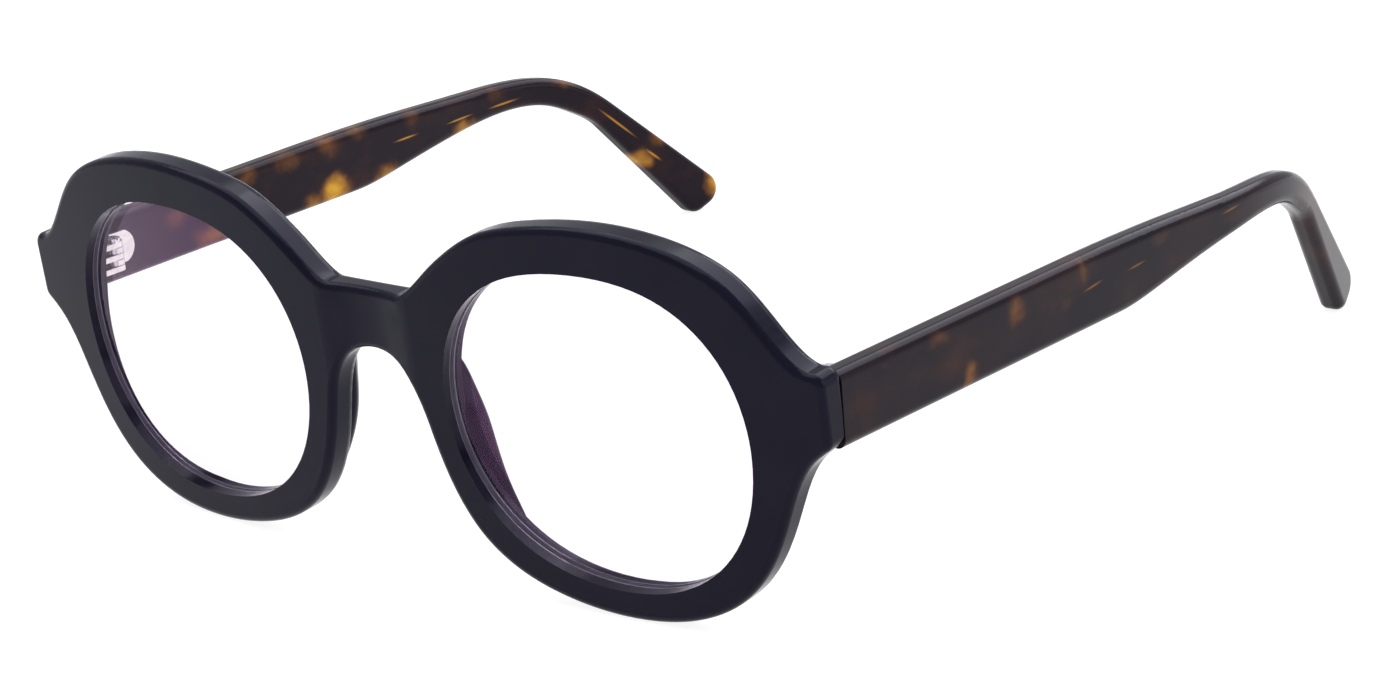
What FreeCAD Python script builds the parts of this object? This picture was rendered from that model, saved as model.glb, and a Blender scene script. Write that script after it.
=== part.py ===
"""Round acetate eyeglasses: front, nose pads, lenses, temples with steel cores, and five-barrel hinges.

The model is drawn in the temples' frame: X across the face towards the wearer's left, Y back along
the temples, Z up. Y = 0 is the front face at the middle of the bridge, before the bridge is hollowed,
and Z = 0 is the height of the lens centres. At the end everything is turned and lowered until the
rims and the temple tips stand on Z = 0.
"""
import FreeCAD, Part
import math
import os
from FreeCAD import Matrix, Vector

# ---- driving dimensions, in millimetres and degrees ----

# Front
HALF_WIDTH = 72.5            # middle of the bridge to the endpiece's outer side
FACE_RADIUS = 485.0          # curve of the front seen from above
FRONT_THICKNESS = 4.8
FRONT_TILT = 4.6             # lean of the front against the temples, top forward
FRONT_EDGE_ROUND = 1.0
REAR_EDGE_ROUND = 1.5
SEAM_Y = 8.3                 # rear of the endpieces, where the temples butt
ENDPIECE_TOP = 11.75
ENDPIECE_BOTTOM = 1.56       # where the outer corner runs into the underside, which slopes 3 in 4
CORNER_ROUND = 1.8
BRIDGE_TOP = 14.8
BRIDGE_UNDERSIDE = 6.1
SCOOP_HALF_WIDTH = 8.5       # shallow hollow across the bridge's front face
SCOOP_DEPTH = 0.9

# Lenses and the openings that hold them
LENS_CENTRE_X = 37.4
LENS_RADIUS = 23.3           # mean radius of the opening
LENS_WIDER = 1.2             # how much wider than round, and lower than round
LENS_SQUARENESS = -0.33
LENS_LEAN = -0.13
LENS_EGG_SIDE = -0.18
LENS_EGG_UP = 0.2
LENS_THICKNESS = 2.0
LENS_CURVE_RADIUS = 265.0
LENS_EDGE_Y = 2.8            # plane of the bevel's ridge behind the front face
BEVEL_DEPTH = 0.7
BEVEL_HALF_WIDTH = 0.7
LENS_CLEARANCE = 0.02
OUTLINE_STEPS = 24

# Temples
TEMPLE_OUTER_X = 72.6        # outer face at the seam
TEMPLE_THICKNESS = 3.9
TEMPLE_SPLAY = 1.25
TEMPLE_TOP = 11.7
TEMPLE_BOTTOM = 1.6
TEMPLE_EDGE_ROUND = 1.4
SEAM_GAP = 0.1
EAR_BEND_START_Y = 94.0      # from here back the temple curves in towards the head
EAR_BEND_RADIUS = 93.0
EAR_BEND_ANGLE = 17.0        # after which it runs straight to the tip
PAST_TIP = 50.0              # any length that reaches past the tip

# Steel core of each temple
CORE_THICKNESS = 1.0
CORE_HEIGHT = 1.6

# Hinges
PIVOT_X = 65.9
PIVOT_Y = 14.4
HINGE_MIDDLE_Z = 6.9
KNUCKLE_HEIGHT = 0.8
KNUCKLE_GAP = 0.1
KNUCKLE_COUNT = 5
KNUCKLE_RADIUS = 1.4
SCREW_RADIUS = 0.6
SCREW_CLEARANCE = 0.05
SCREW_HEAD_RADIUS = 1.15
SCREW_HEAD_HEIGHT = 0.5
SCREW_SLOT_WIDTH = 0.3
SCREW_SLOT_DEPTH = 0.25
PLATE_THICKNESS = 1.0
PLATE_SUNK = 0.5             # depth of each hinge plate in the acetate
PLATE_LENGTH = 6.0
ANCHOR_RADIUS = 0.8
ANCHOR_LENGTH = 1.6

# Standing position
STANDING_TURN = -2.3         # about X, so that rims and temple tips share the floor

# Outer edge of the front, right half, as seen from the front: (X, Z) from the bridge to the endpiece
UPPER_EDGE = [
    (6.2, BRIDGE_TOP),
    (8.5, 15.75),
    (12.6, 19.15),
    (16.8, 22.3),
    (21.4, 24.9),
    (29.1, 26.9),
    (38.3, 27.7),
    (47.6, 27.0),
    (55.2, 24.9),
    (59.8, 22.3),
    (63.4, 18.6),
    (66.8, 14.35),
    (69.0, 12.35),
    (HALF_WIDTH - CORNER_ROUND, ENDPIECE_TOP),
]
# and from the endpiece under the lens to the middle of the nose arch
LOWER_EDGE = [
    (HALF_WIDTH - 0.4 * CORNER_ROUND, ENDPIECE_BOTTOM),
    (69.4, -0.4),
    (67.4, -3.2),
    (65.1, -8.4),
    (61.1, -16.3),
    (56.2, -21.4),
    (49.8, -24.6),
    (39.1, -26.1),
    (28.3, -24.8),
    (21.4, -22.4),
    (15.6, -18.2),
    (11.75, -12.3),
    (9.3, -5.2),
    (7.05, 1.8),
    (4.9, 4.6),
    (0.0, BRIDGE_UNDERSIDE),
]

# Nose pad sections from top to bottom: height, centre X, half width, depth behind the rim
PAD_SECTIONS = [
    (6.5, 9.3, 0.8, 0.9),
    (4.8, 9.5, 1.3, 2.2),
    (2.0, 10.0, 1.7, 2.9),
    (-1.5, 10.9, 2.1, 3.1),
    (-5.0, 11.7, 2.2, 3.2),
    (-9.0, 13.0, 2.1, 2.8),
    (-13.0, 14.9, 1.8, 2.3),
    (-16.5, 17.3, 1.5, 1.7),
    (-19.0, 19.6, 0.9, 0.7),
]
PAD_SPLAY = 21.5             # the pads open towards the wearer

# Side view of the temple, (Y, Z): its top edge back to the ear bend, and its tip
TOP_EDGE_STRAIGHT_TO = (60.0, 11.85)
TOP_EDGE = [
    TOP_EDGE_STRAIGHT_TO,
    (80.0, 11.5),
    (97.0, 10.8),
    (108.0, 10.25),
    (114.5, 9.1),
    (120.0, 6.8),
    (126.0, 2.3),
]
TIP_UPPER = (147.4, -17.5)     # corners of the tip before they are rounded
TIP_LOWER = (139.95, -20.9)
TIP_UPPER_ROUND = 3.0
TIP_LOWER_ROUND = 2.5
BOTTOM_EDGE = [
    (123.2, -1.2),
    (119.0, 1.9),
    (114.0, 4.35),
    (107.5, 5.6),
    (99.0, 5.4),
    (88.0, 4.15),
    (78.0, 2.65),
    (68.0, TEMPLE_BOTTOM),
]
# Path of the steel core in the same view
CORE_START_Y = 21.0
CORE_KNEE = (118.0, 7.3)
CORE_END = (138.5, -13.9)
CORE_BEND_RADIUS = 26.0


# ---- helpers ----

def curve_through(points, start, end):
    """A smooth curve through points, leaving along start and arriving along end."""
    lengths = [0.0]
    for a, b in zip(points, points[1:]):
        lengths.append(lengths[-1] + a.distanceToPoint(b))
    curve = Part.BSplineCurve()
    curve.interpolate(Points=points, Parameters=lengths, Scale=False,
                      InitialTangent=start.normalize(), FinalTangent=end.normalize())
    return curve.toShape()


def closed_curve(points):
    curve = Part.BSplineCurve()
    curve.interpolate(Points=points, PeriodicFlag=True)
    return Part.Wire([curve.toShape()])


def line(a, b):
    return Part.LineSegment(a, b).toShape()


def arc(a, middle, b):
    return Part.Arc(a, middle, b).toShape()


def rounded_corner(before, corner, after, radius):
    """Start, middle and end of the arc that rounds the corner between two straight lines."""
    back = (before - corner).normalize()
    onward = (after - corner).normalize()
    half_angle = back.getAngle(onward) / 2
    reach = radius / math.tan(half_angle)
    inward = (back + onward).normalize()
    middle = corner + inward * (radius / math.sin(half_angle) - radius)
    return corner + back * reach, middle, corner + onward * reach


def slab(wire, direction):
    return Part.Face(wire).extrude(direction)


def mirrored(shape):
    return shape.mirror(Vector(0, 0, 0), Vector(1, 0, 0))


def one_solid(shape):
    """The largest solid of a boolean's result."""
    return max(shape.Solids, key=lambda solid: solid.Volume)


def placed_lens(shape):
    """Turns a shape drawn about the lens centre so that it faces along the front's curve there."""
    turn = math.degrees(math.asin(LENS_CENTRE_X / FACE_RADIUS))
    depth = FACE_RADIUS - math.sqrt(FACE_RADIUS ** 2 - LENS_CENTRE_X ** 2)
    moved = shape.copy()
    moved.rotate(Vector(0, 0, 0), Vector(0, 0, 1), turn)
    moved.translate(Vector(LENS_CENTRE_X, depth, 0))
    return moved


def tilted(shape):
    """Leans a shape drawn in the front's own plane by the front's tilt."""
    moved = shape.copy()
    moved.rotate(Vector(0, 0, 0), Vector(1, 0, 0), FRONT_TILT)
    return moved


# ---- lens and its opening ----

def lens_outline(offset, y):
    """The opening's outline, offset outwards, in the plane Y = y about the lens centre."""
    points = []
    for step in range(OUTLINE_STEPS):
        angle = 2 * math.pi * step / OUTLINE_STEPS
        radius = LENS_RADIUS + offset
        radius += LENS_WIDER * math.cos(2 * angle) + LENS_LEAN * math.sin(2 * angle)
        radius += LENS_EGG_SIDE * math.cos(3 * angle) + LENS_EGG_UP * math.sin(3 * angle)
        radius += LENS_SQUARENESS * math.cos(4 * angle)
        points.append(Vector(radius * math.cos(angle), y, radius * math.sin(angle)))
    return closed_curve(points)


def lens_prism(offset, y_from, y_to):
    return slab(lens_outline(offset, y_from), Vector(0, y_to - y_from, 0))


def bevel_disc(clearance):
    """A disc whose edge is the V of the lens bevel, wider by a clearance."""
    low = lens_outline(-LENS_CLEARANCE, LENS_EDGE_Y - BEVEL_HALF_WIDTH - clearance)
    ridge = lens_outline(BEVEL_DEPTH + clearance, LENS_EDGE_Y)
    high = lens_outline(-LENS_CLEARANCE, LENS_EDGE_Y + BEVEL_HALF_WIDTH + clearance)
    return Part.makeLoft([low, ridge, high], True, True)


def make_lens():
    edge_sag = LENS_RADIUS ** 2 / (2 * LENS_CURVE_RADIUS)
    vertex_y = LENS_EDGE_Y - LENS_THICKNESS / 2 - edge_sag
    centre = Vector(0, vertex_y + LENS_CURVE_RADIUS, 0)
    shell = Part.makeSphere(LENS_CURVE_RADIUS, centre)
    shell = shell.cut(Part.makeSphere(LENS_CURVE_RADIUS - LENS_THICKNESS, centre))
    blank = one_solid(lens_prism(-LENS_CLEARANCE, -5, 10).common(shell))
    bevel_ring = bevel_disc(0).cut(lens_prism(-1.0, -5, 10))
    lens = one_solid(blank.fuse(bevel_ring).removeSplitter())
    return tilted(placed_lens(lens))


# ---- front ----

def front_outline():
    """Closed outline of the whole front in the plane Y = -10."""
    upper = [Vector(x, -10, z) for x, z in UPPER_EDGE]
    lower = [Vector(x, -10, z) for x, z in LOWER_EDGE]
    high_centre = upper[-1] - Vector(0, 0, CORNER_ROUND)
    low_centre = lower[0] + Vector(-0.6, 0, 0.8) * CORNER_ROUND
    high_side = high_centre + Vector(CORNER_ROUND, 0, 0)
    low_side = low_centre + Vector(CORNER_ROUND, 0, 0)
    diagonal = math.sqrt(0.5) * CORNER_ROUND
    low_slant = Vector(math.cos(0.45), 0, -math.sin(0.45)) * CORNER_ROUND
    right_half = [
        curve_through(upper, Vector(1, 0, 0), Vector(1, 0, 0)),
        arc(upper[-1], high_centre + Vector(diagonal, 0, diagonal), high_side),
        line(high_side, low_side),
        arc(low_side, low_centre + low_slant, lower[0]),
        curve_through(lower, Vector(-0.8, 0, -0.6), Vector(-1, 0, 0)),
    ]
    left_half = [mirrored(edge) for edge in right_half]
    bridge = line(Vector(-upper[0].x, -10, upper[0].z), upper[0])
    return Part.Wire(Part.__sortEdges__(right_half + left_half + [bridge]))


def face_point(x, depth):
    """A point of the front's plan, at a depth behind the curved front face."""
    radius = FACE_RADIUS - depth
    return Vector(x, FACE_RADIUS - math.sqrt(radius ** 2 - x ** 2), -60)


def front_plate():
    """The curved plate the front is cut from, with the hollow across the bridge."""
    side = HALF_WIDTH + 5
    inner = 0.45 * SCOOP_HALF_WIDTH
    scoop = [
        face_point(-SCOOP_HALF_WIDTH, 0),
        face_point(-inner, 0.75 * SCOOP_DEPTH),
        face_point(0, SCOOP_DEPTH),
        face_point(inner, 0.75 * SCOOP_DEPTH),
        face_point(SCOOP_HALF_WIDTH, 0),
    ]
    run = math.sqrt(FACE_RADIUS ** 2 - SCOOP_HALF_WIDTH ** 2)
    wire = Part.Wire([
        arc(face_point(-side, 0), face_point(-side / 2, 0), scoop[0]),
        curve_through(scoop, Vector(run, -SCOOP_HALF_WIDTH, 0), Vector(run, SCOOP_HALF_WIDTH, 0)),
        arc(scoop[-1], face_point(side / 2, 0), face_point(side, 0)),
        line(face_point(side, 0), face_point(side, FRONT_THICKNESS)),
        arc(face_point(side, FRONT_THICKNESS), face_point(0, FRONT_THICKNESS),
            face_point(-side, FRONT_THICKNESS)),
        line(face_point(-side, FRONT_THICKNESS), face_point(-side, 0)),
    ])
    return slab(wire, Vector(0, 0, 120))


def rim_edges(shape, least_depth, most_depth):
    """The edges round the front's outline that stay between two depths behind the front face."""
    found = []
    for edge in shape.Edges:
        ends = [vertex.Point for vertex in edge.Vertexes]
        middle = edge.valueAt((edge.FirstParameter + edge.LastParameter) / 2)
        depths = [FACE_RADIUS - math.hypot(p.x, p.y - FACE_RADIUS) for p in ends + [middle]]
        within = all(least_depth - 0.01 < depth < most_depth + 0.01 for depth in depths)
        scoop_side = all(abs(abs(p.x) - SCOOP_HALF_WIDTH) < 0.01 for p in ends + [middle])
        if within and not scoop_side:
            found.append(edge)
    return found


def make_front():
    blank = one_solid(slab(front_outline(), Vector(0, 30, 0)).common(front_plate()))
    blank = blank.makeFillet(FRONT_EDGE_ROUND, rim_edges(blank, 0, SCOOP_DEPTH))
    blank = blank.makeFillet(REAR_EDGE_ROUND, rim_edges(blank, FRONT_THICKNESS, FRONT_THICKNESS))
    opening = lens_prism(0, -10, 20).fuse(bevel_disc(LENS_CLEARANCE))
    opening = placed_lens(opening.removeSplitter())
    front = blank.cut(opening).cut(mirrored(opening))
    front = tilted(one_solid(front))
    behind_seam = Part.makeBox(2 * HALF_WIDTH + 20, 20, 80, Vector(-HALF_WIDTH - 10, SEAM_Y, -40))
    return one_solid(front.cut(behind_seam))


def make_nose_pad(front):
    """One built-up pad: oval sections stacked down the nasal side of the rim, cut to the rim's back."""
    sections = []
    for height, centre_x, half_width, depth in PAD_SECTIONS:
        rear_y = centre_x ** 2 / (2 * FACE_RADIUS) + FRONT_THICKNESS
        points = []
        for step in range(12):
            angle = 2 * math.pi * step / 12
            across = half_width * math.cos(angle)
            back = (depth if math.sin(angle) > 0 else 1.5) * math.sin(angle)
            splay = math.tan(math.radians(PAD_SPLAY)) * max(back, 0)
            points.append(Vector(centre_x + across + splay, rear_y + back, height))
        sections.append(closed_curve(points))
    pad = tilted(Part.makeLoft(sections, True, False))
    return one_solid(pad.cut(front))


# ---- temple ----

def temple_plan(inset, thickness):
    """Strip seen from above between the temple's faces, inset from the outer face."""
    splay = math.radians(TEMPLE_SPLAY)
    along = Vector(math.sin(splay), math.cos(splay), 0)
    inwards = Vector(-math.cos(splay), math.sin(splay), 0)
    start = Vector(TEMPLE_OUTER_X, SEAM_Y + SEAM_GAP, -40) + inwards * inset
    start = start - along * 5
    bend = start + along * ((EAR_BEND_START_Y - start.y) / along.y)
    centre = bend + inwards * (EAR_BEND_RADIUS - inset)

    sweep = math.radians(EAR_BEND_ANGLE)

    def on_bend(radius, angle):
        return centre - inwards * (radius * math.cos(angle)) + along * (radius * math.sin(angle))

    def past_bend(radius):
        heading = along * math.cos(sweep) + inwards * math.sin(sweep)
        return on_bend(radius, sweep) + heading * PAST_TIP

    outer = EAR_BEND_RADIUS - inset
    inner = outer - thickness
    far_start = start + inwards * thickness
    wire = Part.Wire([
        line(start, bend),
        arc(bend, on_bend(outer, sweep / 2), on_bend(outer, sweep)),
        line(on_bend(outer, sweep), past_bend(outer)),
        line(past_bend(outer), past_bend(inner)),
        line(past_bend(inner), on_bend(inner, sweep)),
        arc(on_bend(inner, sweep), on_bend(inner, sweep / 2), on_bend(inner, 0)),
        line(on_bend(inner, 0), far_start),
        line(far_start, start),
    ])
    return slab(wire, Vector(0, 0, 80))


def side_view(y_z):
    return Vector(0, y_z[0], y_z[1])


def temple_side():
    """The temple's outline seen from the side, as a slab across X."""
    front_y = SEAM_Y + SEAM_GAP
    top_front = Vector(0, front_y, TEMPLE_TOP)
    bottom_front = Vector(0, front_y, TEMPLE_BOTTOM)
    top = [side_view(p) for p in TOP_EDGE]
    bottom = [side_view(p) for p in BOTTOM_EDGE]
    upper = side_view(TIP_UPPER)
    lower = side_view(TIP_LOWER)
    upper_round = rounded_corner(top[-1], upper, lower, TIP_UPPER_ROUND)
    lower_round = rounded_corner(upper, lower, bottom[0], TIP_LOWER_ROUND)
    wire = Part.Wire([
        line(top_front, top[0]),
        curve_through(top, top[0] - top_front, upper - top[-1]),
        line(top[-1], upper_round[0]),
        arc(*upper_round),
        line(upper_round[2], lower_round[0]),
        arc(*lower_round),
        line(lower_round[2], bottom[0]),
        curve_through(bottom, bottom[0] - lower, Vector(0, -1, 0)),
        line(bottom[-1], bottom_front),
        line(bottom_front, top_front),
    ])
    return slab(wire, Vector(100, 0, 0))


def make_temple(hinge_leaf, core):
    blank = one_solid(temple_plan(0, TEMPLE_THICKNESS).common(temple_side()))
    long_edges = [edge for edge in blank.Edges if runs_along(edge)]
    blank = blank.makeFillet(TEMPLE_EDGE_ROUND, long_edges)
    return one_solid(blank.cut(hinge_leaf).cut(core))


def runs_along(edge):
    """True for the edges round the temple's outer and inner faces, apart from those at the seam."""
    a, b = [vertex.Point for vertex in edge.Vertexes]
    at_seam = max(a.y, b.y) < SEAM_Y + 1
    joins_faces = abs(a.x - b.x) > 2 and edge.Length < 1.2 * TEMPLE_THICKNESS
    return not at_seam and not joins_faces


def make_core():
    """Flat steel core: straight, one bend down to the tip, and the temple's own curve inwards."""
    start = Vector(0, CORE_START_Y, CORE_KNEE[1] - 0.35)
    knee = side_view(CORE_KNEE)
    end = side_view(CORE_END)
    first = (knee - start).normalize()
    second = (end - knee).normalize()
    turn = first.getAngle(second)
    tangent = CORE_BEND_RADIUS * math.tan(turn / 2)
    bend_start = knee - first * tangent
    bend_end = knee + second * tangent
    down = Vector(0, first.z, -first.y)
    centre = bend_start + down * CORE_BEND_RADIUS

    def band(offset):
        a = start - down * offset
        b = bend_start - down * offset
        middle = (knee - centre).normalize() * (CORE_BEND_RADIUS + offset) + centre
        out = Vector(0, -second.z, second.y)
        c = bend_end + out * offset
        d = end + out * offset
        return a, b, middle, c, d

    half = CORE_HEIGHT / 2
    upper = band(half)
    lower = band(-half)
    wire = Part.Wire([
        line(upper[0], upper[1]),
        arc(upper[1], upper[2], upper[3]),
        line(upper[3], upper[4]),
        line(upper[4], lower[4]),
        line(lower[4], lower[3]),
        arc(lower[3], lower[2], lower[1]),
        line(lower[1], lower[0]),
        line(lower[0], upper[0]),
    ])
    inset = (TEMPLE_THICKNESS - CORE_THICKNESS) / 2
    return one_solid(temple_plan(inset, CORE_THICKNESS).common(slab(wire, Vector(100, 0, 0))))


# ---- hinge ----

def knuckle_floor(index):
    """Height of the bottom of a knuckle, counted from 0 at the top."""
    pitch = KNUCKLE_HEIGHT + KNUCKLE_GAP
    stack = KNUCKLE_COUNT * pitch - KNUCKLE_GAP
    return HINGE_MIDDLE_Z + stack / 2 - KNUCKLE_HEIGHT - index * pitch


def knuckle(index, root_points, hole_radius):
    """A barrel about the pivot with an arm out to root_points, bored for the screw."""
    floor_z = knuckle_floor(index)
    barrel = Part.makeCylinder(KNUCKLE_RADIUS, KNUCKLE_HEIGHT, Vector(PIVOT_X, PIVOT_Y, floor_z))
    corners = [Vector(x, y, floor_z) for x, y in root_points]
    arm = slab(Part.makePolygon(corners + corners[:1]), Vector(0, 0, KNUCKLE_HEIGHT))
    bore = Part.makeCylinder(hole_radius, 20, Vector(PIVOT_X, PIVOT_Y, floor_z - 10))
    return barrel.fuse(arm).cut(bore)


def make_front_hinge():
    """Three barrels on a plate let into the back of the endpiece, with an anchor behind it."""
    half_stack = HINGE_MIDDLE_Z - knuckle_floor(KNUCKLE_COUNT - 1)
    plate_x = PIVOT_X - KNUCKLE_RADIUS - 0.5
    plate_width = 2 * (KNUCKLE_RADIUS + 0.35)
    plate = Part.makeBox(plate_width, PLATE_THICKNESS, 2 * half_stack + 0.4,
                         Vector(plate_x, SEAM_Y - PLATE_SUNK, HINGE_MIDDLE_Z - half_stack - 0.2))
    anchor = Part.makeCylinder(ANCHOR_RADIUS, ANCHOR_LENGTH,
                               Vector(PIVOT_X, SEAM_Y - PLATE_SUNK, HINGE_MIDDLE_Z), Vector(0, -1, 0))
    leaf = plate.fuse(anchor)
    root_y = SEAM_Y - PLATE_SUNK + PLATE_THICKNESS / 2
    left_x = PIVOT_X - KNUCKLE_RADIUS
    right_x = PIVOT_X + KNUCKLE_RADIUS
    for index in range(0, KNUCKLE_COUNT, 2):
        last = index == KNUCKLE_COUNT - 1
        hole = SCREW_RADIUS if last else SCREW_RADIUS + SCREW_CLEARANCE
        arm = [(left_x, root_y), (right_x, root_y), (right_x, PIVOT_Y), (left_x, PIVOT_Y)]
        leaf = leaf.fuse(knuckle(index, arm, hole))
    return one_solid(leaf.removeSplitter())


def make_temple_hinge():
    """Two barrels on a round-ended plate let into the temple's inner face, with an anchor behind it."""
    half_stack = HINGE_MIDDLE_Z - knuckle_floor(KNUCKLE_COUNT - 1)
    splay = math.radians(TEMPLE_SPLAY)
    inner_x = TEMPLE_OUTER_X - TEMPLE_THICKNESS / math.cos(splay)
    inner_x += math.tan(splay) * (PIVOT_Y - SEAM_Y)
    plate_x = inner_x + PLATE_SUNK - PLATE_THICKNESS
    near_y = PIVOT_Y - 0.2
    far_y = PIVOT_Y + PLATE_LENGTH
    low_z = HINGE_MIDDLE_Z - half_stack - 0.2
    high_z = HINGE_MIDDLE_Z + half_stack + 0.2
    shoulder_y = far_y - 1.6
    outline = Part.Wire([
        line(Vector(plate_x, near_y, low_z), Vector(plate_x, shoulder_y, low_z)),
        arc(Vector(plate_x, shoulder_y, low_z), Vector(plate_x, far_y, HINGE_MIDDLE_Z),
            Vector(plate_x, shoulder_y, high_z)),
        line(Vector(plate_x, shoulder_y, high_z), Vector(plate_x, near_y, high_z)),
        line(Vector(plate_x, near_y, high_z), Vector(plate_x, near_y, low_z)),
    ])
    plate = slab(outline, Vector(PLATE_THICKNESS, 0, 0))
    anchor_foot = Vector(plate_x + PLATE_THICKNESS / 2, shoulder_y - 1.2, HINGE_MIDDLE_Z)
    anchor = Part.makeCylinder(ANCHOR_RADIUS, ANCHOR_LENGTH, anchor_foot, Vector(1, 0, 0))
    leaf = plate.fuse(anchor)
    root_x = plate_x + PLATE_THICKNESS / 2
    for index in range(1, KNUCKLE_COUNT, 2):
        arm = [
            (PIVOT_X, PIVOT_Y - KNUCKLE_RADIUS),
            (root_x, near_y),
            (root_x, shoulder_y),
            (PIVOT_X, PIVOT_Y + KNUCKLE_RADIUS),
        ]
        leaf = leaf.fuse(knuckle(index, arm, SCREW_RADIUS + SCREW_CLEARANCE))
    return one_solid(leaf.removeSplitter())


def make_screw():
    """Slotted screw down through all five barrels, held by the lowest."""
    top_z = knuckle_floor(0) + KNUCKLE_HEIGHT
    bottom_z = knuckle_floor(KNUCKLE_COUNT - 1)
    shaft = Part.makeCylinder(SCREW_RADIUS, top_z - bottom_z, Vector(PIVOT_X, PIVOT_Y, bottom_z))
    head = Part.makeCylinder(SCREW_HEAD_RADIUS, SCREW_HEAD_HEIGHT, Vector(PIVOT_X, PIVOT_Y, top_z))
    slot = Part.makeBox(4, SCREW_SLOT_WIDTH, SCREW_SLOT_DEPTH,
                        Vector(PIVOT_X - 2, PIVOT_Y - SCREW_SLOT_WIDTH / 2,
                               top_z + SCREW_HEAD_HEIGHT - SCREW_SLOT_DEPTH))
    return one_solid(shaft.fuse(head).cut(slot).removeSplitter())


# ---- assembly ----

def make_parts():
    front_hinge = make_front_hinge()
    temple_hinge = make_temple_hinge()
    core = make_core()
    front = make_front()
    pad = make_nose_pad(front)
    front = one_solid(front.cut(front_hinge).cut(mirrored(front_hinge)))
    temple = make_temple(temple_hinge, core)
    paired = {
        "nose_pad": pad,
        "lens": make_lens(),
        "temple": temple,
        "core_wire": core,
        "front_hinge": front_hinge,
        "temple_hinge": temple_hinge,
        "hinge_screw": make_screw(),
    }
    parts = {"front": front}
    for name, shape in paired.items():
        parts[name + "_left"] = shape
        parts[name + "_right"] = mirrored(shape)
    return parts


def standing(parts):
    """The matrix that stands the parts on Z = 0 with the middle of their box over the origin."""
    turn = Matrix()
    turn.rotateX(math.radians(STANDING_TURN))
    turned = [parts[name].transformGeometry(turn) for name in ("front", "temple_left")]
    boxes = [shape.optimalBoundingBox(True, False) for shape in turned]
    low_z = min(box.ZMin for box in boxes)
    middle_y = (min(box.YMin for box in boxes) + max(box.YMax for box in boxes)) / 2
    shift = Matrix()
    shift.move(Vector(0, -middle_y, -low_z))
    return shift * turn


def main():
    parts = make_parts()
    stand = standing(parts)
    os.makedirs("parts", exist_ok=True)
    for name, shape in parts.items():
        shape.transformShape(stand)
        shape.exportStep(f"parts/{name}.step")
    return parts, stand


if __name__ == "__main__":
    main()
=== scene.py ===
"""Looks of the round acetate eyeglasses: materials, small details, studio and camera."""
import math

import bpy
from mathutils import Matrix, Vector

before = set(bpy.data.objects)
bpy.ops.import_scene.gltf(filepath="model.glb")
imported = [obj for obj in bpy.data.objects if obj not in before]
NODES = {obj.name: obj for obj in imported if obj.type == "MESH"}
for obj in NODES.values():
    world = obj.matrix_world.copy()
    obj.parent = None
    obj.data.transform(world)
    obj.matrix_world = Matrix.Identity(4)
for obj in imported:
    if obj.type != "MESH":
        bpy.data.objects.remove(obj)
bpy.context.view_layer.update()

MM = 0.001

# Where the arms' own frame lies: leaned back by this turn about X, then moved
STANDING_TURN = math.radians(-2.3)
STANDING_SHIFT = Vector((0.0, -0.0718549, 0.0259762))

# Nodes that share a material
BLACK_PIECES = ["front", "nose_pad_left", "nose_pad_right"]
LENSES = ["lens_left", "lens_right"]
HINGE_LEAVES = ["front_hinge_left", "front_hinge_right", "temple_hinge_left", "temple_hinge_right"]
HINGE_SCREWS = ["hinge_screw_left", "hinge_screw_right"]
CORE_WIRES = ["core_wire_left", "core_wire_right"]


def standing(x, y, z):
    """A point of the arms' own frame, in millimetres, to the row frame in metres."""
    turn = Matrix.Rotation(STANDING_TURN, 3, "X")
    return turn @ Vector((x * MM, y * MM, z * MM)) + STANDING_SHIFT


# ---- node helpers ----

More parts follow.
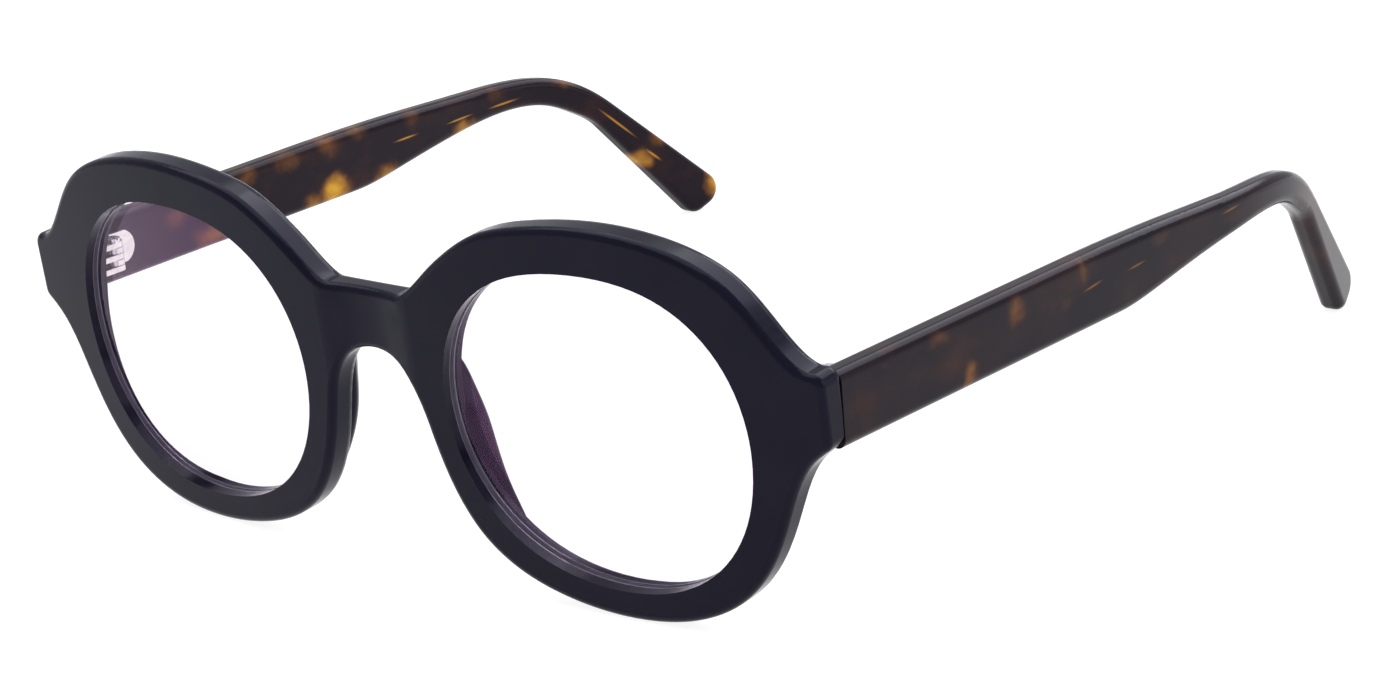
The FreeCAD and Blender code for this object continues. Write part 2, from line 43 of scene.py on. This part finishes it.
class Material:
    """A node material under construction, placed by its object's own coordinates."""

    def __init__(self, name):
        self.data = bpy.data.materials.new(name)
        self.data.use_nodes = True
        self.tree = self.data.node_tree
        self.tree.nodes.clear()
        self.shader = self.add("ShaderNodeBsdfPrincipled")
        output = self.add("ShaderNodeOutputMaterial")
        self.link(self.shader.outputs[0], output.inputs["Surface"])
        self.place = self.add("ShaderNodeTexCoord").outputs["Object"]

    def add(self, kind, **settings):
        made = self.tree.nodes.new(kind)
        for key, value in settings.items():
            setattr(made, key, value)
        return made

    def link(self, source, target):
        if isinstance(source, bpy.types.NodeSocket):
            self.tree.links.new(source, target)
        else:
            target.default_value = source

    def math(self, operation, a, b=0.0, clamp=False):
        made = self.add("ShaderNodeMath", operation=operation, use_clamp=clamp)
        self.link(a, made.inputs[0])
        self.link(b, made.inputs[1])
        return made.outputs[0]

    def vector(self, operation, a, b=(0, 0, 0)):
        made = self.add("ShaderNodeVectorMath", operation=operation)
        self.link(a, made.inputs[0])
        self.link(b, made.inputs[1])
        return made.outputs["Value" if operation == "LENGTH" else "Vector"]

    def noise(self, lumps, detail=2.0, roughness=0.5, stretch=(1, 1, 1), shift=(0, 0, 0), colour=False):
        """Noise with a given number of lumps per metre, times stretch along each axis."""
        mapping = self.add("ShaderNodeMapping")
        mapping.inputs["Scale"].default_value = [lumps * along for along in stretch]
        mapping.inputs["Location"].default_value = shift
        self.link(self.place, mapping.inputs["Vector"])
        made = self.add("ShaderNodeTexNoise")
        made.inputs["Scale"].default_value = 1.0
        made.inputs["Detail"].default_value = detail
        made.inputs["Roughness"].default_value = roughness
        self.link(mapping.outputs[0], made.inputs["Vector"])
        return made.outputs["Color" if colour else "Fac"]

    def ramp(self, fac, stops):
        """Colours at given values of fac, blended between them."""
        made = self.add("ShaderNodeValToRGB")
        elements = made.color_ramp.elements
        while len(elements) < len(stops):
            elements.new(0.5)
        for element, (position, colour) in zip(elements, stops):
            element.position = position
            element.color = (*colour, 1.0)
        self.link(fac, made.inputs["Fac"])
        return made.outputs["Color"]

    def spread(self, fac, low, high, to_low, to_high, smooth=False):
        """The range low to high of fac laid over to_low to to_high, and level past its ends."""
        made = self.add("ShaderNodeMapRange", interpolation_type="SMOOTHSTEP" if smooth else "LINEAR")
        made.clamp = True
        for socket, value in zip(made.inputs[1:5], (low, high, to_low, to_high)):
            socket.default_value = value
        self.link(fac, made.inputs[0])
        return made.outputs[0]

    def mix(self, fac, a, b):
        """Colour a where fac is 0, and b where it is 1."""
        made = self.add("ShaderNodeMix", data_type="RGBA")
        self.link(fac, made.inputs[0])
        self.link(a, made.inputs[6])
        self.link(b, made.inputs[7])
        return made.outputs[2]

    def bump(self, height, strength, distance):
        made = self.add("ShaderNodeBump")
        made.inputs["Strength"].default_value = strength
        made.inputs["Distance"].default_value = distance
        self.link(height, made.inputs["Height"])
        self.link(made.outputs[0], self.shader.inputs["Normal"])

    def set(self, **values):
        """Constants on the shader's sockets, with _ for a space in the socket's name."""
        for key, value in values.items():
            self.shader.inputs[key.replace("_", " ")].default_value = value


# ---- acetate ----

ACETATE_IOR = 1.45
ACETATE_SPECULAR = 0.15
BLACK_TINT = (0.80, 0.78, 1.0, 1.0)
TORTOISE_TINT = (0.80, 0.76, 1.0, 1.0)
WAVINESS_HEIGHT = 0.25 * MM
HAIRLINE_HEIGHT = 0.03           # as a share of the waviness
BLACK_CLOUDS = [
    (0.3, (0.0030, 0.0027, 0.0085)),
    (0.7, (0.0050, 0.0045, 0.0125)),
]


def polish(material, smoothest, roughest):
    """The roughness and fine waviness of hand-polished acetate: faint smears and hairlines."""
    smears = material.noise(140.0, detail=4.0, roughness=0.6, stretch=(1.0, 0.6, 1.3))
    hairlines = material.noise(900.0, detail=2.0, stretch=(1.0, 0.12, 1.0))
    wear = material.math("MULTIPLY", smears, material.math("ADD", hairlines, 0.5))
    material.link(material.spread(wear, 0.3, 0.75, smoothest, roughest),
                  material.shader.inputs["Roughness"])
    waviness = material.noise(45.0, detail=1.0)
    height = material.math("ADD", waviness, material.math("MULTIPLY", hairlines, HAIRLINE_HEIGHT))
    material.bump(height, 0.25, WAVINESS_HEIGHT)


def black_acetate():
    """Glossy blue-black acetate with barely lighter clouds."""
    made = Material("black_acetate")
    clouds = made.noise(60.0, detail=3.0)
    made.link(made.ramp(clouds, BLACK_CLOUDS), made.shader.inputs["Base Color"])
    polish(made, smoothest=0.13, roughest=0.22)
    made.set(IOR=ACETATE_IOR, Specular_IOR_Level=ACETATE_SPECULAR, Specular_Tint=BLACK_TINT)
    return made.data


# Amber patches of each arm: (Y, Z, half length, half height, strength) in the arms' frame, in millimetres
LEFT_PATCHES = [
    (33.6, 3.4, 1.7, 2.3, 0.42),
    (28.2, 10.0, 2.8, 1.5, 0.25),
    (44.2, 9.0, 2.6, 2.6, 0.34),
    (59.0, 9.6, 1.6, 2.2, 0.3),
    (69.4, 4.4, 2.5, 3.4, 0.14),
    (77.2, 10.2, 2.5, 1.4, 0.2),
    (96.0, 8.0, 5.0, 1.5, 0.14),
]
RIGHT_PATCHES = [
    (62.5, 3.2, 3.4, 2.8, 1.0),
    (57.8, 2.0, 2.6, 2.0, 0.5),
    (44.0, 10.0, 3.0, 2.2, 0.35),
    (53.5, 10.4, 3.6, 1.8, 0.32),
    (62.0, 11.0, 2.4, 2.6, 0.36),
    (69.2, 11.2, 2.8, 2.0, 0.3),
    (74.6, 2.8, 3.2, 2.2, 0.55),
    (81.3, 11.0, 2.4, 2.4, 0.25),
    (93.6, 5.2, 3.6, 1.8, 0.62),
    (101.3, 9.4, 2.6, 1.6, 0.25),
    (117.2, 8.4, 3.2, 1.4, 0.36),
    (129.6, -8.4, 2.0, 2.4, 0.8),
    (133.6, -5.4, 2.4, 2.0, 0.36),
    (144.3, -15.6, 2.2, 3.2, 0.85),
    (36.5, 4.0, 4.0, 2.6, 0.45),
    (30.0, 8.0, 3.0, 2.0, 0.3),
]
# Thin yellow streaks: (Y, Z, half length, half height, slope), in the same frame
LEFT_STREAKS = [
    (61.2, 7.5, 2.6, 0.22, 0.1),
    (71.4, 7.5, 2.4, 0.2, 0.05),
    (94.6, 9.1, 2.6, 0.2, 0.05),
]
RIGHT_STREAKS = [
    (79.7, 7.5, 3.0, 0.22, 0.0),
    (92.6, 7.4, 3.4, 0.22, 0.02),
    (103.0, 7.5, 3.6, 0.24, 0.02),
    (125.6, -1.0, 5.0, 0.25, -0.95),
    (132.0, -8.0, 2.2, 0.3, -0.9),
]
# Colours of the dark ground by cloud, and of the amber by strength
BROWN_CLOUDS = [
    (0.32, (0.0068, 0.0050, 0.0078)),
    (0.52, (0.0118, 0.0068, 0.0084)),
    (0.72, (0.034, 0.0125, 0.0088)),
]
AMBERS = [
    (0.0, (0.03, 0.012, 0.006)),
    (0.35, (0.13, 0.050, 0.012)),
    (0.65, (0.32, 0.145, 0.018)),
    (1.0, (0.62, 0.33, 0.02)),
]
PATCH_WANDER = 3.4 * MM          # how far the noise pushes the patches' outlines
# Where a patch or a streak ends and where it is full, in its own half sizes
PATCH_EDGE = 1.5
PATCH_HEART = 0.1
STREAK_EDGE = 1.2
STREAK_HEART = 0.4
STRAY_STRENGTH = 0.24            # of the small patches that noise scatters over the whole sheet


def patch_distance(made, place, y, z, half_length, half_height, slope=0.0):
    """Distance from the middle of an oval patch, 1 on its outline, the same all through the sheet."""
    mapping = made.add("ShaderNodeMapping", vector_type="TEXTURE")
    mapping.inputs["Location"].default_value = standing(0, y, z)
    mapping.inputs["Rotation"].default_value = (STANDING_TURN + math.atan(slope), 0, 0)
    mapping.inputs["Scale"].default_value = (1.0, half_length * MM, half_height * MM)
    made.link(place, mapping.inputs["Vector"])
    flat = made.vector("MULTIPLY", mapping.outputs[0], (0.0, 1.0, 1.0))
    return made.vector("LENGTH", flat)


def wandering_place(made, seed):
    """The sheet's coordinates pushed about along the arm and up, so that outlines aren't even."""
    push = made.noise(240.0, detail=2.0, roughness=0.5, colour=True, shift=(seed, seed * 2, 0))
    push = made.vector("SUBTRACT", push, (0.5, 0.5, 0.5))
    push = made.vector("MULTIPLY", push, (0.0, PATCH_WANDER, PATCH_WANDER))
    return made.vector("ADD", made.place, push)


def tortoise(name, patches, streaks, streak_strength, seed):
    """Dark tortoise acetate: brown clouds, soft amber patches and thin streaks through the sheet."""
    made = Material(name)
    place = wandering_place(made, seed)
    total = 0.0
    for *oval, strength in patches:
        distance = patch_distance(made, place, *oval)
        patch = made.spread(distance, PATCH_EDGE, PATCH_HEART, 0.0, strength, smooth=True)
        total = made.math("MAXIMUM", patch, total)
    grain = made.noise(420.0, detail=3.0, roughness=0.6, stretch=(1.0, 0.7, 1.0), shift=(seed, 0, 0))
    total = made.math("MULTIPLY", total, made.spread(grain, 0.3, 0.6, 0.72, 1.0), clamp=True)
    stray = made.noise(150.0, detail=3.0, roughness=0.6, stretch=(1.0, 0.7, 1.2), shift=(seed * 3, 1, seed))
    stray = made.spread(stray, 0.58, 0.82, 0.0, STRAY_STRENGTH, smooth=True)
    total = made.math("MAXIMUM", total, stray)
    for oval_and_slope in streaks:
        distance = patch_distance(made, made.place, *oval_and_slope)
        streak = made.spread(distance, STREAK_EDGE, STREAK_HEART, 0.0, streak_strength)
        total = made.math("MAXIMUM", total, streak)
    clouds = made.noise(95.0, detail=4.0, roughness=0.6, stretch=(1.0, 0.6, 1.1), shift=(seed, 2, 1))
    ground = made.ramp(clouds, BROWN_CLOUDS)
    amber = made.ramp(total, AMBERS)
    cover = made.spread(total, 0.02, 0.4, 0.0, 1.0, smooth=True)
    made.link(made.mix(cover, ground, amber), made.shader.inputs["Base Color"])
    polish(made, smoothest=0.12, roughest=0.2)
    made.set(IOR=ACETATE_IOR, Specular_IOR_Level=ACETATE_SPECULAR, Specular_Tint=TORTOISE_TINT)
    return made.data


# ---- lenses and steel ----

LENS_IOR = 1.3
LENS_SPECULAR = 0.5
CLEAR_LENS = [
    (0.3, (0.95, 0.865, 0.97)),
    (0.7, (0.96, 0.875, 0.98)),
]
VIOLET_FILM = [
    (0.3, (0.80, 0.10, 1.0)),
    (0.7, (0.96, 0.14, 0.90)),
]
# Grey of the ground bevel: partly the edge's own dull colour, partly a painted highlight that stands in for
# the thin bright line of light along the lens edge
BEVEL_GREY_AND_PAINTED_HIGHLIGHT = (0.13, 0.13, 0.155, 1.0)
# How far a surface's normal runs along Y, at most on the bevel and at least on the lens's faces
BEVEL_FACING = 0.86
LENS_FACING = 0.92


def coated_lens():
    """Clear lens whose coating reflects violet, with a dark grey ground bevel whose grey is partly a
    painted highlight along the lens edge.
    """
    made = Material("lens")
    film = made.noise(35.0, detail=2.0)
    facing = made.add("ShaderNodeSeparateXYZ")
    made.link(made.add("ShaderNodeNewGeometry").outputs["Normal"], facing.inputs[0])
    # On the bevel, off the lens's faces, the lens lets no light through and shows the grey with its painted
    # highlight
    clear = made.spread(made.math("ABSOLUTE", facing.outputs["Y"]), BEVEL_FACING, LENS_FACING, 0.0, 1.0)
    made.link(made.mix(clear, BEVEL_GREY_AND_PAINTED_HIGHLIGHT, made.ramp(film, CLEAR_LENS)), made.shader.inputs["Base Color"])
    made.link(clear, made.shader.inputs["Transmission Weight"])
    made.link(made.ramp(film, VIOLET_FILM), made.shader.inputs["Specular Tint"])
    smears = made.noise(120.0, detail=3.0)
    made.link(made.spread(smears, 0.35, 0.75, 0.0, 0.02), made.shader.inputs["Roughness"])
    made.set(IOR=LENS_IOR, Specular_IOR_Level=LENS_SPECULAR)
    return made.data


DULL_STEEL = 0.82                # brightness of the duller blotches
STEEL_LINE_HEIGHT = 0.03 * MM


def steel(name, colour, smoothest, roughest, lines):
    """Satin steel with fine turned or rolled lines, so many per metre."""
    made = Material(name)
    grain = made.noise(lines, detail=3.0, roughness=0.7, stretch=(1.0, 1.0, 0.15))
    blotches = made.noise(900.0, detail=2.0)
    dull = tuple(DULL_STEEL * channel for channel in colour)
    made.link(made.ramp(blotches, [(0.35, dull), (0.7, colour)]), made.shader.inputs["Base Color"])
    made.link(made.spread(grain, 0.3, 0.7, smoothest, roughest), made.shader.inputs["Roughness"])
    made.bump(grain, 0.15, STEEL_LINE_HEIGHT)
    made.set(Metallic=1.0)
    return made.data


# ---- dressing the nodes ----

SOFT_EDGE = 0.08 * MM
SOFT_EDGE_SEGMENTS = 2
SOFT_EDGE_TURN = math.radians(40)     # an edge is softened if its faces turn by more than this


def dress(names, material):
    for name in names:
        mesh = NODES[name].data
        mesh.materials.clear()
        mesh.materials.append(material)


def soften_edges(names):
    """A narrow bevel on the sharp edges, which catches the light."""
    for name in names:
        bevel = NODES[name].modifiers.new("soft_edges", "BEVEL")
        bevel.width = SOFT_EDGE
        bevel.segments = SOFT_EDGE_SEGMENTS
        bevel.limit_method = "ANGLE"
        bevel.angle_limit = SOFT_EDGE_TURN


dress(BLACK_PIECES, black_acetate())
dress(["temple_left"],
      tortoise("tortoise_left", LEFT_PATCHES, LEFT_STREAKS, streak_strength=0.4, seed=3.1))
dress(["temple_right"],
      tortoise("tortoise_right", RIGHT_PATCHES, RIGHT_STREAKS, streak_strength=0.7, seed=7.7))
dress(LENSES, coated_lens())
dress(HINGE_LEAVES, steel("hinge_steel", (0.80, 0.775, 0.735), smoothest=0.22, roughest=0.38, lines=2500.0))
dress(HINGE_SCREWS, steel("screw_steel", (0.82, 0.82, 0.84), smoothest=0.14, roughest=0.26, lines=4000.0))
dress(CORE_WIRES, steel("core_steel", (0.6, 0.6, 0.62), smoothest=0.3, roughest=0.45, lines=2500.0))
soften_edges(HINGE_LEAVES + HINGE_SCREWS)


# ---- floor, light and camera ----

FLOOR_SIZE = 12.0
FLOOR_GLOW = 0.88
PAPER_GREYS = [
    (0.3, (0.22, 0.22, 0.22)),
    (0.7, (0.25, 0.25, 0.25)),
]
SKY_COLOUR = (0.93, 0.93, 1.0, 1.0)
SKY_STRENGTH = 0.75
# Lamps: (name, place, point lit, size, watts, colour), in metres
LAMPS = [
    ("key", (-0.25, 0.1, 1.2), (0, 0, 0.02), (1.4, 1.4), 12.0, (1.0, 1.0, 1.0)),
    ("back", (0.15, 1.05, 1.0), (0, 0, 0.02), (1.2, 1.0), 12.0, (0.94, 0.95, 1.0)),
    ("side", (1.1, 0.5, 0.5), (0, 0, 0.03), (0.8, 0.8), 3.0, (1.0, 1.0, 1.0)),
]


def floor():
    """White paper, which glows a little so that the shadows are faint."""
    bpy.ops.mesh.primitive_plane_add(size=FLOOR_SIZE, location=(0, 0, 0))
    made = bpy.context.object
    made.name = "floor"
    paper = Material("floor_paper")
    specks = paper.noise(400.0, detail=2.0)
    paper.link(paper.ramp(specks, PAPER_GREYS), paper.shader.inputs["Base Color"])
    paper.set(Roughness=0.9, Specular_IOR_Level=0.1, Emission_Color=(1.0, 1.0, 1.0, 1.0),
              Emission_Strength=FLOOR_GLOW)
    made.data.materials.append(paper.data)


def area_light(name, place, target, size, power, colour):
    data = bpy.data.lights.new(name, "AREA")
    data.shape = "RECTANGLE"
    data.size, data.size_y = size
    data.energy = power
    data.color = colour
    made = bpy.data.objects.new(name, data)
    bpy.context.scene.collection.objects.link(made)
    made.location = place
    made.rotation_mode = "QUATERNION"
    made.rotation_quaternion = (Vector(target) - Vector(place)).to_track_quat("-Z", "Y")


def studio():
    """An even pale sky and the lamps."""
    world = bpy.data.worlds.new("studio")
    bpy.context.scene.world = world
    world.use_nodes = True
    background = world.node_tree.nodes["Background"]
    background.inputs["Color"].default_value = SKY_COLOUR
    background.inputs["Strength"].default_value = SKY_STRENGTH
    for lamp in LAMPS:
        area_light(*lamp)
    bpy.context.scene.view_settings.view_transform = "Standard"


CAMERA_AZIMUTH = math.radians(40.989)
CAMERA_ELEVATION = math.radians(18.149)
CAMERA_ROLL = math.radians(-4.704)
CAMERA_DISTANCE = 426.22          # from the point aimed at, in millimetres
CAMERA_AIM = (57.65, 0.0, 14.72)  # in the arms' frame, in millimetres
CAMERA_LENS = 90.33               # focal length for the film width below, in millimetres
CAMERA_FILM = 36.0
CAMERA_SHIFT = (0.0003, 0.0006)   # as a share of the film's width


def camera():
    """The camera, set up in the arms' frame and then stood with the part."""
    back = Vector((math.sin(CAMERA_AZIMUTH) * math.cos(CAMERA_ELEVATION),
                   -math.cos(CAMERA_AZIMUTH) * math.cos(CAMERA_ELEVATION),
                   math.sin(CAMERA_ELEVATION)))
    level = (-back).cross(Vector((0, 0, 1))).normalized()
    upright = level.cross(-back)
    right = math.cos(CAMERA_ROLL) * level + math.sin(CAMERA_ROLL) * upright
    up = math.cos(CAMERA_ROLL) * upright - math.sin(CAMERA_ROLL) * level
    turn = Matrix.Rotation(STANDING_TURN, 3, "X") @ Matrix((right, up, back)).transposed()
    data = bpy.data.cameras.new("camera")
    data.lens = CAMERA_LENS
    data.sensor_width = CAMERA_FILM
    data.clip_start = 0.01
    data.shift_x, data.shift_y = CAMERA_SHIFT
    made = bpy.data.objects.new("camera", data)
    bpy.context.scene.collection.objects.link(made)
    made.location = standing(*(Vector(CAMERA_AIM) + back * CAMERA_DISTANCE))
    made.rotation_mode = "QUATERNION"
    made.rotation_quaternion = turn.to_quaternion()
    bpy.context.scene.camera = made


floor()
studio()
camera()
